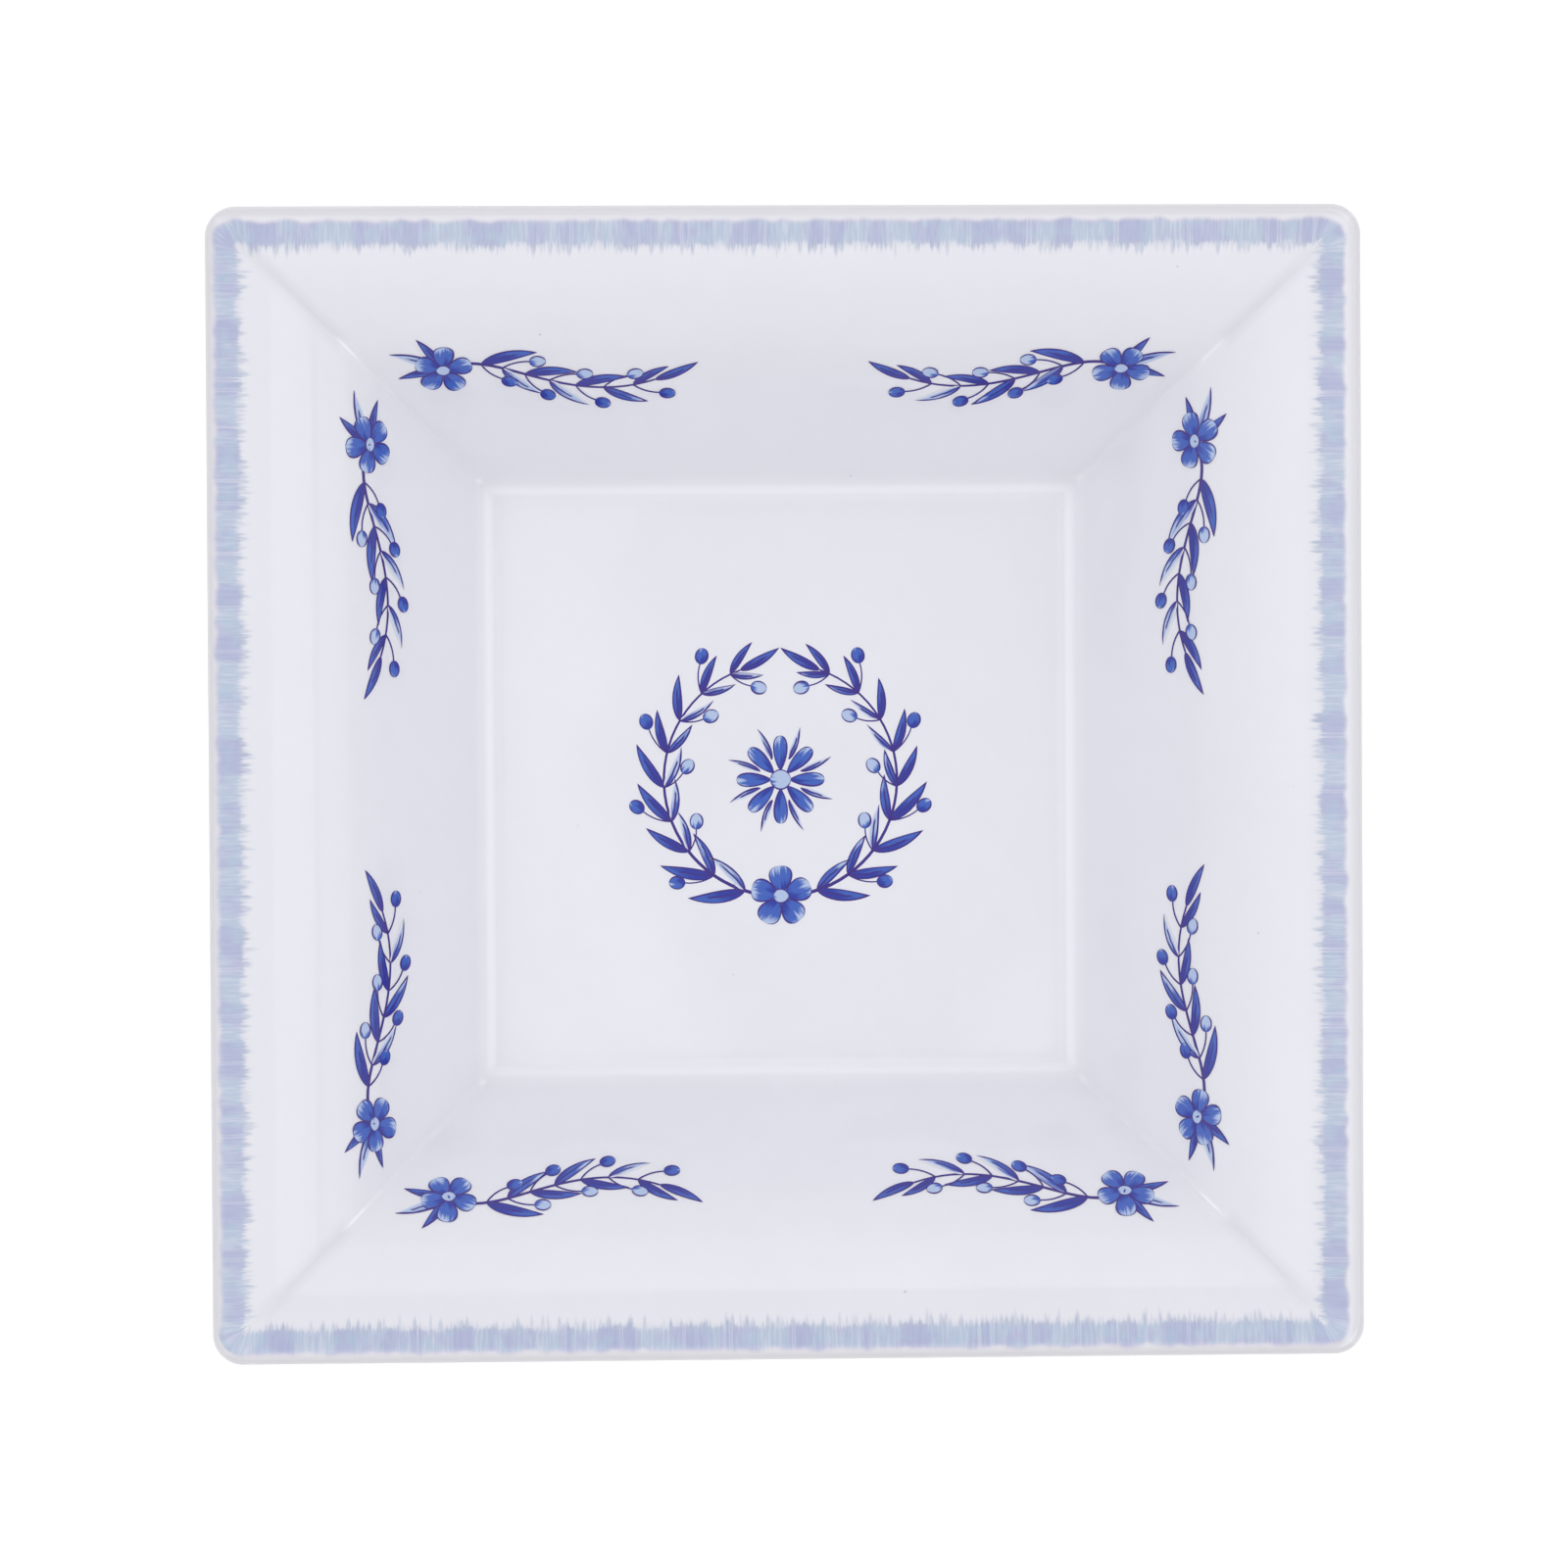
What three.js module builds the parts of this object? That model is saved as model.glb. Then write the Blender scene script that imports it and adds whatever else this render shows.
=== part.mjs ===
// A deep square serving dish of glazed earthenware, made of the layers of the real one: the fired
// clay body with its foot ring, the coat of glaze over the face, rim and back, and the separate
// pool of glaze inside the foot. The foot's standing face is bare clay.
// Millimetres, +Z up. The dish stands on z = 0, centred on the Z axis, with its sides along X and Y.
import * as THREE from 'three';

// Driving dimensions across the dish, side to side.
const RIM_WIDTH = 260; // over the glazed lip
const WELL_WIDTH = 136.5; // where the line of the wall meets the floor of the well
const FLARE_WIDTH = 23; // from the lip in to where the lines of the flare and the wall meet
const CORNER_RUN = 7; // from the lip in to where its round corners have tightened
const FOOT_INSET = 6; // from the edge of the well in to the outside of the foot
const FOOT_WIDTH = 6; // of the foot ring

// Driving dimensions up and down.
const WELL_DEPTH = 42; // from the glazed lip to the glazed floor of the well
const FLARE_DROP = 5.8; // fall of the flared rim over that width
const FLOOR_THICKNESS = 5; // clay under the well
const FOOT_HEIGHT = 4; // from the table to the clay inside the foot

// Thicknesses.
const WALL_THICKNESS = 4.4; // clay of the wall and the rim
const GLAZE_THICKNESS = 0.4;

// Rounding of the section.
const WELL_FILLET = 10; // between the floor of the well and the wall
const BEND_RADIUS = 58; // between the wall and the flared rim
const SHOULDER_RADIUS = 7; // outside, where the wall turns under towards the foot
const FOOT_FILLET = 1.4; // where the foot grows out of the underside
const FOOT_EDGE_RADIUS = 1.2; // of the foot's two standing edges

// Rounding of the corners, seen from above, on the clay.
const RIM_CORNER = 6.5; // outline of the rim
const LIP_CORNER = 7; // where the lip ends on the face
const FLARE_CORNER = 1.8; // on the flare, inside that run
const BEND_CORNER = 0.9; // where the flare turns into the wall
const WELL_CORNER = 2; // edge of the well
const FOOT_CORNER = 7; // outside of the foot
const FOOT_INNER_CORNER = 3;

// Fineness of the faceted surfaces.
const CHORD_TOLERANCE = 0.06; // largest gap between a facet and its true arc in the section
const CORNER_STEPS = 6; // facets round each corner in plan
const OUTLINE_STEPS = 4 * (CORNER_STEPS + 1);

// A corner of the section: its distance from the axis at the middle of a side, its height, the
// radius of the dish's corner in plan at that level, and the radius that rounds it in the section.
// A finished point of the section has the direction in which its surface faces instead.
const corner = (half, z, plan, rounding) => ({ at: new THREE.Vector2(half, z), plan, rounding });
const direction = (from, to) => to.at.clone().sub(from.at).normalize();
const facing = (along) => new THREE.Vector2(-along.y, along.x);
const point = (at, plan, normal) => ({ at, plan, normal });

// The corner radius in plan at a distance from the axis, on the stretch between two corners.
function planBetween(from, to, half) {
  if (from.at.x === to.at.x) return from.plan;
  return THREE.MathUtils.mapLinear(half, from.at.x, to.at.x, from.plan, to.plan);
}

// Moves the corner between two straight stretches of the section out by a distance on both.
function offsetCorner(before, middle, after, distance) {
  const arriving = facing(direction(before, middle));
  const leaving = facing(direction(middle, after));
  const spread = arriving.clone().add(leaving);
  return middle.at.clone().addScaledVector(spread, distance / (1 + arriving.dot(leaving)));
}

// Rounds one corner of the section: the points of its arc, first to last. The arc takes up no more
// than the straight stretches beside it, or half of one that is rounded at its other end too. A
// corner with no rounding stays a point.
function roundCorner(before, middle, after) {
  const arriving = direction(before, middle);
  if (!middle.rounding) return [point(middle.at, middle.plan, facing(arriving))];
  const leaving = direction(middle, after);
  const turn = Math.atan2(arriving.cross(leaving), arriving.dot(leaving));
  const slack = Math.tan(Math.abs(turn) / 2);
  const stretches = [before, after].map((end) => middle.at.distanceTo(end.at) / (end.rounding ? 2 : 1));
  const radius = Math.min(middle.rounding, ...stretches.map((room) => room / slack));
  const side = Math.sign(turn);
  const start = middle.at.clone().addScaledVector(arriving, -radius * slack);
  const centre = start.clone().addScaledVector(facing(arriving), side * radius);
  const step = 2 * Math.acos(1 - Math.min(CHORD_TOLERANCE / radius, 1));
  const steps = Math.max(2, Math.ceil(Math.abs(turn) / step));
  return Array.from({ length: steps + 1 }, (_, index) => {
    const normal = facing(arriving).rotateAround(new THREE.Vector2(), (turn * index) / steps);
    const at = centre.clone().addScaledVector(normal, -side * radius);
    return point(at, planBetween(middle, 2 * index < steps ? before : after, at.x), normal);
  });
}

// Runs along a stretch of the section and rounds every corner between its two ends.
function roundSection(corners) {
  const middles = corners.slice(1, -1);
  return middles.flatMap((middle, index) => roundCorner(corners[index], middle, corners[index + 2]));
}

// The same stretch of surface, moved out by a thickness.
const offset = (points, distance) =>
  points.map(({ at, plan, normal }) =>
    point(at.clone().addScaledVector(normal, distance), plan && plan + distance * normal.x, normal));

// One point of a square with round corners, counted round its four arcs.
function planPoint(half, radius, step) {
  const quarter = Math.floor(step / (CORNER_STEPS + 1));
  const along = (step % (CORNER_STEPS + 1)) / CORNER_STEPS;
  const middle = ((quarter + 0.5) * Math.PI) / 2;
  const angle = ((quarter + along) * Math.PI) / 2;
  const reach = (half - radius) * Math.SQRT2;
  const x = reach * Math.cos(middle) + radius * Math.cos(angle);
  const y = reach * Math.sin(middle) + radius * Math.sin(angle);
  return [x, y];
}

// Turns a section that starts and ends on the axis, and presses each turn from a circle to the
// square of its level. Sections run from the top down, so they turn clockwise to face out.
function pressSquare(section) {
  const profile = section.map(({ at }) => at);
  const geometry = new THREE.LatheGeometry(profile, OUTLINE_STEPS);
  const position = geometry.getAttribute('position');
  for (let step = 0; step <= OUTLINE_STEPS; step++) {
    section.forEach(({ at, plan }, index) => {
      const [x, y] = planPoint(at.x, plan, (OUTLINE_STEPS - step) % OUTLINE_STEPS);
      position.setXYZ(step * section.length + index, x, y, at.y);
    });
  }
  geometry.computeVertexNormals();
  return geometry;
}

// Levels and distances from the axis that the section is drawn from, all on the clay.
const rimHalf = RIM_WIDTH / 2 - GLAZE_THICKNESS;
const wellHalf = WELL_WIDTH / 2;
const footOuter = wellHalf - FOOT_INSET;
const footInner = footOuter - FOOT_WIDTH;
const floorTop = FOOT_HEIGHT + FLOOR_THICKNESS;
const lipTop = floorTop + WELL_DEPTH;

// The face of the clay, from the axis out to the lip. The lip is a half round as thick as the wall,
// so its highest and outermost points set the height and the width of the dish.
const flareSlope = Math.atan2(FLARE_DROP, FLARE_WIDTH);
const lipRadius = WALL_THICKNESS / 2;
const lipCentre = new THREE.Vector2(rimHalf - lipRadius, lipTop - lipRadius);
const flareAlong = new THREE.Vector2(Math.cos(flareSlope), Math.sin(flareSlope));
const lipFace = lipCentre.clone().addScaledVector(facing(flareAlong), lipRadius);
const runEnd = lipFace.clone().addScaledVector(flareAlong, -CORNER_RUN / flareAlong.x);
const faceCorners = [
  corner(0, floorTop, 0),
  corner(wellHalf, floorTop, WELL_CORNER, WELL_FILLET),
  corner(lipFace.x - FLARE_WIDTH, lipFace.y - FLARE_DROP, BEND_CORNER, BEND_RADIUS),
  corner(runEnd.x, runEnd.y, FLARE_CORNER),
  corner(lipFace.x, lipFace.y, LIP_CORNER),
];

// The lip, from the face round to the back.
const lipSteps = Math.ceil(Math.PI / (2 * Math.acos(1 - CHORD_TOLERANCE / lipRadius)));
const lip = Array.from({ length: lipSteps + 1 }, (_, index) => {
  const along = index / lipSteps;
  const normal = facing(flareAlong).rotateAround(new THREE.Vector2(), -Math.PI * along);
  const plan = THREE.MathUtils.lerp(LIP_CORNER, RIM_CORNER, Math.min(2 * along, 1));
  return point(lipCentre.clone().addScaledVector(normal, lipRadius), plan, normal);
});

// The back of the clay follows the face at the wall's thickness, then turns under to the foot.
const lipBack = lipCentre.clone().addScaledVector(facing(flareAlong), -lipRadius);
const backBend = offsetCorner(faceCorners[1], faceCorners[2], faceCorners[3], -WALL_THICKNESS);
const wallAlong = direction(faceCorners[1], faceCorners[2]);
const shoulderX = backBend.x - ((backBend.y - FOOT_HEIGHT) * wallAlong.x) / wallAlong.y;
const backCorners = [
  corner(lipBack.x, lipBack.y, RIM_CORNER),
  corner(backBend.x, backBend.y, BEND_CORNER + WALL_THICKNESS, BEND_RADIUS - WALL_THICKNESS),
  corner(shoulderX, FOOT_HEIGHT, WELL_CORNER + WALL_THICKNESS, SHOULDER_RADIUS),
  corner(footOuter, FOOT_HEIGHT, FOOT_CORNER, FOOT_FILLET),
  corner(footOuter, 0, FOOT_CORNER, FOOT_EDGE_RADIUS),
  corner(footInner, 0, FOOT_INNER_CORNER, FOOT_EDGE_RADIUS),
  corner(footInner, FOOT_HEIGHT, FOOT_INNER_CORNER, FOOT_FILLET),
  corner(0, FOOT_HEIGHT, 0),
];

// The three stretches of the clay's surface: glazed over, bare on the foot, and glazed inside it.
const up = new THREE.Vector2(0, 1);
const down = new THREE.Vector2(0, -1);
const [outerEdge, innerEdge] = [backCorners.slice(3, 6), backCorners.slice(4, 7)].map(roundSection);
const coated = [
  point(new THREE.Vector2(0, floorTop), 0, up),
  ...roundSection(faceCorners),
  ...lip,
  ...roundSection(backCorners.slice(0, 5)),
  outerEdge[0],
];
const bare = [...outerEdge.slice(1), ...innerEdge.slice(0, -1)];
const base = [
  innerEdge.at(-1),
  ...roundSection(backCorners.slice(5)),
  point(new THREE.Vector2(0, FOOT_HEIGHT), 0, down),
];

const clay = new THREE.MeshStandardMaterial({ color: '#e9e2d6', roughness: 0.85, metalness: 0 });
const glaze = new THREE.MeshStandardMaterial({ color: '#e8e8f0', roughness: 0.12, metalness: 0 });

function piece(name, section, material) {
  const mesh = new THREE.Mesh(pressSquare(section), material);
  mesh.name = name;
  return mesh;
}

const dish = new THREE.Group();
dish.add(
  piece('dish_body', [...coated, ...bare, ...base], clay),
  piece('glaze_coat', [...offset(coated, GLAZE_THICKNESS), ...coated.toReversed()], glaze),
  piece('base_glaze', [...base.toReversed(), ...offset(base, GLAZE_THICKNESS)], glaze),
);

export default dish;
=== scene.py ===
"""Deep square dish of white glazed earthenware: the visual model, its studio and its camera.

The section of the dish is drawn from the same values as the solids, spun, and pressed to a square.
The blue decoration is ink under the gloss: thin closed films that lie in the surface of the glaze.
"""
import math
import random
from typing import NamedTuple

import bmesh
import bpy
from mathutils import Matrix, Vector
from mathutils.bvhtree import BVHTree


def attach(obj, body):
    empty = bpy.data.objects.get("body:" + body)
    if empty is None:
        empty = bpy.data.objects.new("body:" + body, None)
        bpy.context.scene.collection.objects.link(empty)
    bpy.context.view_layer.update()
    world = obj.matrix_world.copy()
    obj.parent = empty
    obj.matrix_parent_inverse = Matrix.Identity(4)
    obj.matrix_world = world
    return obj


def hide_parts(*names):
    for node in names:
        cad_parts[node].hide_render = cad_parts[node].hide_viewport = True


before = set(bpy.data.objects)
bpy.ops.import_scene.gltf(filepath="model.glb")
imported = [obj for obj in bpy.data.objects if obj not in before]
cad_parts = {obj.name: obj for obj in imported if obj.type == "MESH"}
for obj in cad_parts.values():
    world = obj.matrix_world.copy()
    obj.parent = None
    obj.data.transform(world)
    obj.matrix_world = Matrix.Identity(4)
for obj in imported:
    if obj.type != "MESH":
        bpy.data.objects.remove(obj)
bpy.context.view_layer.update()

MM = 0.001

# Sizes of the dish, as in its solids.
RIM_WIDTH = 260 * MM
WELL_WIDTH = 136.5 * MM
FLARE_WIDTH = 23 * MM
CORNER_RUN = 7 * MM
FOOT_INSET = 6 * MM
FOOT_WIDTH = 6 * MM
WELL_DEPTH = 42 * MM
LIP_SETTLE = 0.08 * MM  # how much lower the CAD's faceted lip stands than a true arc
FLARE_DROP = 5.8 * MM
FLOOR_THICKNESS = 5 * MM
FOOT_HEIGHT = 4 * MM
WALL_THICKNESS = 4.4 * MM
GLAZE_THICKNESS = 0.4 * MM
WELL_FILLET = 10 * MM
BEND_RADIUS = 58 * MM
SHOULDER_RADIUS = 7 * MM
FOOT_FILLET = 1.4 * MM
FOOT_EDGE_RADIUS = 1.2 * MM
RIM_CORNER = 6.5 * MM
LIP_CORNER = 7 * MM
FLARE_CORNER = 1.8 * MM
BEND_CORNER = 0.9 * MM
WELL_CORNER = 2 * MM
FOOT_CORNER = 7 * MM
FOOT_INNER_CORNER = 3 * MM

# Fineness of the visible surfaces.
CHORD_TOLERANCE = 0.004 * MM
CORNER_STEPS = 14
SIDE_SHARES = (0.003, 0.02, 0.1, 0.2, 0.3, 0.4, 0.5, 0.6, 0.7, 0.8, 0.9, 0.98, 0.997)
QUARTER_STEPS = CORNER_STEPS + 1 + len(SIDE_SHARES)
OUTLINE_STEPS = 4 * QUARTER_STEPS
SUPPORT = 0.5 * MM  # a ring of points this far from each end keeps a straight stretch straight
SHARP_ANGLE = math.radians(35)
MERGE_DISTANCE = 0.0001 * MM

# The films of ink, above and below the surface of the glaze.
INK_LIFT = 0.02 * MM
INK_STEP = 0.006 * MM  # between one layer of ink and the next
INK_THICKNESS = 0.12 * MM


def srgb(red, green, blue):
    """A colour written in the usual 0 to 255 steps, as the linear colour that shaders take."""
    def linear(value):
        share = value / 255
        return share / 12.92 if share <= 0.04045 else ((share + 0.055) / 1.055) ** 2.4
    return (linear(red), linear(green), linear(blue), 1.0)


# Colours of the ware.
GLAZE_WHITE = srgb(229, 229, 237)
# painted shade over the lip's edge
GLAZE_LIP_SHADE = srgb(218, 217, 223)
# painted highlight round the well's edge
GLAZE_WELL_HIGHLIGHT = srgb(238, 238, 245)
# painted shade in the mitres' creases
GLAZE_CREASE_SHADE = srgb(221, 221, 229)
SPECK = srgb(120, 122, 140)
BISCUIT = srgb(226, 214, 194)
BISCUIT_SHADE = srgb(196, 182, 160)
BAND_LAVENDER = srgb(174, 180, 212)
BAND_SKY = srgb(174, 190, 214)
BAND_TIP = srgb(178, 187, 206)
BAND_LILAC = srgb(204, 196, 214)
INK_LINE = srgb(64, 48, 132)
INK_DEEP = srgb(46, 60, 158)
INK_COBALT = srgb(66, 98, 186)
INK_WASH = srgb(176, 193, 226)


# The section of the dish.

class Corner(NamedTuple):
    """A corner of the section: where it is, the dish's corner radius there, and its rounding."""
    at: Vector
    plan: float
    rounding: float = 0.0


class Station(NamedTuple):
    """A finished point of the section, with the direction in which its surface faces."""
    at: Vector
    plan: float
    normal: Vector


def corner(half, z, plan, rounding=0.0):
    return Corner(Vector((half, z)), plan, rounding)


def direction(first, second):
    return (second.at - first.at).normalized()


def facing(along):
    return Vector((-along.y, along.x))


def turned(vector, angle):
    return Matrix.Rotation(angle, 2) @ vector


def mix(first, second, share):
    return first + (second - first) * share


def plan_between(first, second, half):
    """The corner radius in plan at a distance from the axis, between two corners of the section."""
    if first.at.x == second.at.x:
        return first.plan
    return mix(first.plan, second.plan, (half - first.at.x) / (second.at.x - first.at.x))


def offset_corner(before, middle, after, distance):
    """Moves the corner between two straight stretches out by a distance on both."""
    arriving = facing(direction(before, middle))
    leaving = facing(direction(middle, after))
    return middle.at + (arriving + leaving) * (distance / (1 + arriving.dot(leaving)))


def arc_steps(radius, angle):
    step = 2 * math.acos(1 - min(CHORD_TOLERANCE / radius, 1))
    return max(2, math.ceil(abs(angle) / step))


def round_corner(before, middle, after):
    """The stations of the arc that rounds one corner of the section, or the bare corner."""
    arriving = direction(before, middle)
    if not middle.rounding:
        return [Station(middle.at, middle.plan, facing(arriving))]
    leaving = direction(middle, after)
    turn = math.atan2(arriving.cross(leaving), arriving.dot(leaving))
    slack = math.tan(abs(turn) / 2)
    rooms = [(middle.at - end.at).length / (2 if end.rounding else 1) for end in (before, after)]
    radius = min(middle.rounding, *(room / slack for room in rooms))
    side = math.copysign(1, turn)
    start = middle.at - arriving * (radius * slack)
    centre = start + facing(arriving) * (side * radius)
    steps = arc_steps(radius, turn)
    stations = []
    for index in range(steps + 1):
        normal = turned(facing(arriving), turn * index / steps)
        at = centre - normal * (side * radius)
        neighbour = before if 2 * index < steps else after
        stations.append(Station(at, plan_between(middle, neighbour, at.x), normal))
    return stations


def round_section(corners):
    """Rounds every corner between the two ends of a stretch of the section."""
    stations = []
    for before, middle, after in zip(corners, corners[1:], corners[2:]):
        stations += round_corner(before, middle, after)
    return stations


def support(stations):
    """Adds stations near both ends of each long stretch, so that its shading stays straight."""
    result = [stations[0]]
    for first, second in zip(stations, stations[1:]):
        gap = (second.at - first.at).length
        shares = (SUPPORT / gap, 0.5, 1 - SUPPORT / gap) if gap > 3 * SUPPORT else ()
        for share in shares:
            at = first.at.lerp(second.at, share)
            normal = first.normal.lerp(second.normal, share).normalized()
            result.append(Station(at, mix(first.plan, second.plan, share), normal))
        result.append(second)
    return result


def offset(stations, distance):
    """The same stretch of surface, moved out by a thickness."""
    return [
        Station(at + normal * distance, plan and plan + distance * normal.x, normal)
        for at, plan, normal in stations
    ]


def dish_section():
    """The clay's surface in three stretches: glazed over, bare on the foot, and glazed inside it."""
    rim_half = RIM_WIDTH / 2 - GLAZE_THICKNESS
    well_half = WELL_WIDTH / 2
    foot_outer = well_half - FOOT_INSET
    foot_inner = foot_outer - FOOT_WIDTH
    floor_top = FOOT_HEIGHT + FLOOR_THICKNESS
    lip_radius = WALL_THICKNESS / 2
    lip_centre = Vector((rim_half - lip_radius, floor_top + WELL_DEPTH - LIP_SETTLE - lip_radius))
    flare_slope = math.atan2(FLARE_DROP, FLARE_WIDTH)
    flare_along = Vector((math.cos(flare_slope), math.sin(flare_slope)))
    flare_normal = facing(flare_along)
    lip_face = lip_centre + flare_normal * lip_radius
    run_end = lip_face - flare_along * (CORNER_RUN / flare_along.x)
    face = [
        corner(0, floor_top, 0),
        corner(well_half, floor_top, WELL_CORNER, WELL_FILLET),
        corner(lip_face.x - FLARE_WIDTH, lip_face.y - FLARE_DROP, BEND_CORNER, BEND_RADIUS),
        corner(run_end.x, run_end.y, FLARE_CORNER),
        corner(lip_face.x, lip_face.y, LIP_CORNER),
    ]
    lip = []
    lip_steps = arc_steps(lip_radius, math.pi)
    for index in range(lip_steps + 1):
        along = index / lip_steps
        normal = turned(flare_normal, -math.pi * along)
        plan = mix(LIP_CORNER, RIM_CORNER, min(2 * along, 1))
        lip.append(Station(lip_centre + normal * lip_radius, plan, normal))
    lip_back = lip_centre - flare_normal * lip_radius
    back_bend = offset_corner(face[1], face[2], face[3], -WALL_THICKNESS)
    wall_along = direction(face[1], face[2])
    shoulder_half = back_bend.x - (back_bend.y - FOOT_HEIGHT) * wall_along.x / wall_along.y
    back = [
        corner(lip_back.x, lip_back.y, RIM_CORNER),
        corner(back_bend.x, back_bend.y, BEND_CORNER + WALL_THICKNESS, BEND_RADIUS - WALL_THICKNESS),
        corner(shoulder_half, FOOT_HEIGHT, WELL_CORNER + WALL_THICKNESS, SHOULDER_RADIUS),
        corner(foot_outer, FOOT_HEIGHT, FOOT_CORNER, FOOT_FILLET),
        corner(foot_outer, 0, FOOT_CORNER, FOOT_EDGE_RADIUS),
        corner(foot_inner, 0, FOOT_INNER_CORNER, FOOT_EDGE_RADIUS),
        corner(foot_inner, FOOT_HEIGHT, FOOT_INNER_CORNER, FOOT_FILLET),
        corner(0, FOOT_HEIGHT, 0),
    ]
    outer_edge = round_section(back[3:6])
    inner_edge = round_section(back[4:7])
    middle_top = Station(face[0].at, 0, Vector((0, 1)))
    middle_under = Station(back[-1].at, 0, Vector((0, -1)))
    coated = [middle_top, *round_section(face), *lip, *round_section(back[0:5]), outer_edge[0]]
    bare = [*outer_edge[1:], *inner_edge[:-1]]
    base = [inner_edge[-1], *round_section(back[5:]), middle_under]
    return support(coated), bare, support(base)


def outline_point(station, step):
    """One point of the square with round corners that a station goes round."""
    half, z = station.at
    radius = station.plan
    quarter, place = divmod(step, QUARTER_STEPS)

    def on_arc(quarter, along):
        middle = (quarter + 0.5) * math.pi / 2
        angle = (quarter + along) * math.pi / 2
        reach = (half - radius) * math.sqrt(2)
        x = reach * math.cos(middle) + radius * math.cos(angle)
        y = reach * math.sin(middle) + radius * math.sin(angle)
        return Vector((x, y, z))

    if place <= CORNER_STEPS:
        return on_arc(quarter, place / CORNER_STEPS)
    return on_arc(quarter, 1).lerp(on_arc(quarter + 1, 0), SIDE_SHARES[place - CORNER_STEPS - 1])


def press_square(stations, closed=False):
    """Spins a section about the axis, and presses each turn from a circle to the square of its level."""
    bm = bmesh.new()
    ring = bm.verts.layers.int.new("ring")
    points = []
    for index, station in enumerate(stations):
        point = bm.verts.new((station.at.x, 0, station.at.y))
        point[ring] = index
        points.append(point)
    pairs = list(zip(points, points[1:]))
    if closed:
        pairs.append((points[-1], points[0]))
    line = [bm.edges.new(pair) for pair in pairs]
    bmesh.ops.spin(
        bm, geom=points + line, cent=(0, 0, 0), axis=(0, 0, 1), dvec=(0, 0, 0),
        angle=math.tau, steps=OUTLINE_STEPS, use_merge=True,
    )
    for point in bm.verts:
        step = round(math.atan2(point.co.y, point.co.x) / math.tau * OUTLINE_STEPS) % OUTLINE_STEPS
        point.co = outline_point(stations[point[ring]], step)
    bmesh.ops.remove_doubles(bm, verts=bm.verts[:], dist=MERGE_DISTANCE)
    bmesh.ops.recalc_face_normals(bm, faces=bm.faces[:])
    return bm


# Shader maths, and the one way to add a node.

class Value:
    """An output of a material's node tree, for use in expressions."""

    def __init__(self, finish, socket):
        self.finish = finish
        self.socket = socket

    def math(self, operation, first, second=0.0, third=0.0):
        return self.finish.add("ShaderNodeMath", {"operation": operation}, {0: first, 1: second, 2: third})

    def __add__(self, other):
        return self.math("ADD", self, other)

    def __sub__(self, other):
        return self.math("SUBTRACT", self, other)

    def __rsub__(self, other):
        return self.math("SUBTRACT", other, self)

    def __mul__(self, other):
        return self.math("MULTIPLY", self, other)

    def __truediv__(self, other):
        return self.math("DIVIDE", self, other)

    def __pow__(self, other):
        return self.math("POWER", self, other)

    def __abs__(self):
        return self.math("ABSOLUTE", self)

    __radd__ = __add__
    __rmul__ = __mul__

    def floor(self):
        return self.math("FLOOR", self)

    def fraction(self):
        return self.math("FRACT", self)

    def most(self, other):
        return self.math("MAXIMUM", self, other)

    def least(self, other):
        return self.math("MINIMUM", self, other)

    def ramp(self, low, high):
        """Goes smoothly from 0 to 1 while this value goes from low to high."""
        return self.finish.add(
            "ShaderNodeMapRange", {"interpolation_type": "SMOOTHSTEP"},
            {"Value": self, "From Min": low, "From Max": high},
        )


class Nodes:
    """A node tree that is built from nothing."""

    def __init__(self, tree):
        self.tree = tree
        tree.nodes.clear()

    def add(self, kind, settings=None, inputs=None, output=0):
        """Adds a node: its type, its settings, then the values or links of its sockets."""
        node = self.tree.nodes.new(kind)
        for name, value in (settings or {}).items():
            setattr(node, name, value)
        for key, value in (inputs or {}).items():
            if isinstance(value, Value):
                self.tree.links.new(value.socket, node.inputs[key])
            else:
                node.inputs[key].default_value = value
        return Value(self, node.outputs[output]) if node.outputs else None

    def outputs(self, kind, *names):
        """Adds a node for several of its outputs."""
        first = self.add(kind, output=names[0])
        return [first, *(Value(self, first.socket.node.outputs[name]) for name in names[1:])]

    def parts(self, vector):
        """The two or three coordinates of a vector."""
        first = self.add("ShaderNodeSeparateXYZ", None, {"Vector": vector})
        return [Value(self, socket) for socket in first.socket.node.outputs]


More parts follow.
